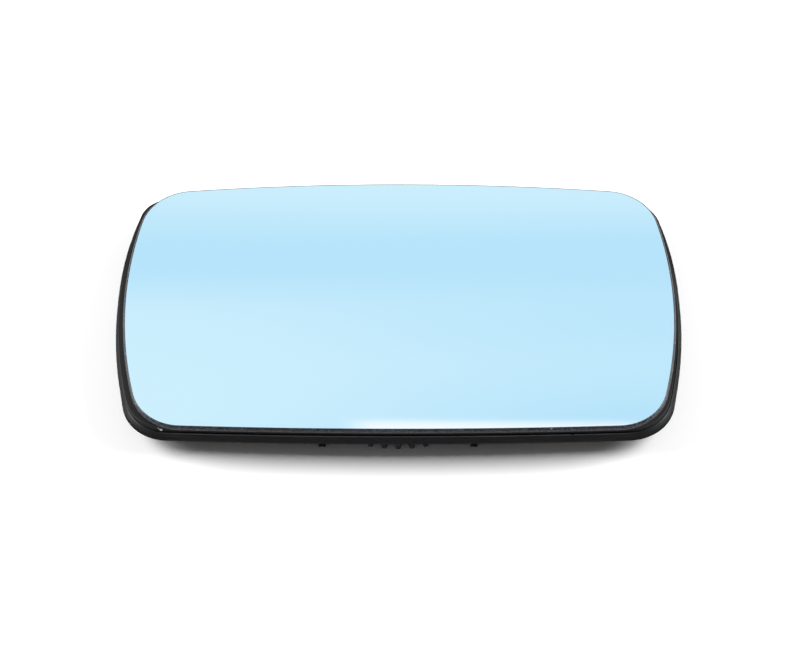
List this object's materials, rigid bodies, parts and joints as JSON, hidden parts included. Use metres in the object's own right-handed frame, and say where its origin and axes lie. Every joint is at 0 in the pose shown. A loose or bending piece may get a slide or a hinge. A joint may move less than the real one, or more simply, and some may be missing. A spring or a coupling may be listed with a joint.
{
  "type": "car door mirror glass",
  "caption": "Heated, convex, blue-tinted door mirror glass on a moulded plate with a toothed bayonet locking ring.",
  "frame": {"origin": "bottom centre: under the middle of the plate, on the surface that the feet stand on", "axes": "+Z out of the glass face, +X towards the right side of the face, +Y towards its top side"},
  "size_m": [0.1714, 0.0944, 0.0144],
  "materials": {
    "mirror_glass": "convex mirror glass with a light blue reflecting coat and a ground edge",
    "adhesive": "thin double-sided adhesive film",
    "heater_foil": "polyester heating foil",
    "terminal": "stamped brass blade",
    "rivet": "plated rivet",
    "plate": "moulded black plastic, satin with a fine grain",
    "ring": "moulded black plastic, satin"
  },
  "bodies": {
    "mirror": {"mirror_glass": "mirror_glass", "glass_adhesive": "adhesive", "heater_foil": "heater_foil", "terminal_upper": "terminal", "terminal_lower": "terminal", "terminal_rivets": "rivet", "backing_plate": "plate"},
    "ring": {"locking_ring": "ring"}
  },
  "joints": [
    {"name": "ring_turn", "type": "hinge", "parent": "mirror", "child": "ring", "pos_m": [0, -0.0042, 0.004], "axis": [0, 0, 1], "range_deg": [0, 20]}
  ]
}
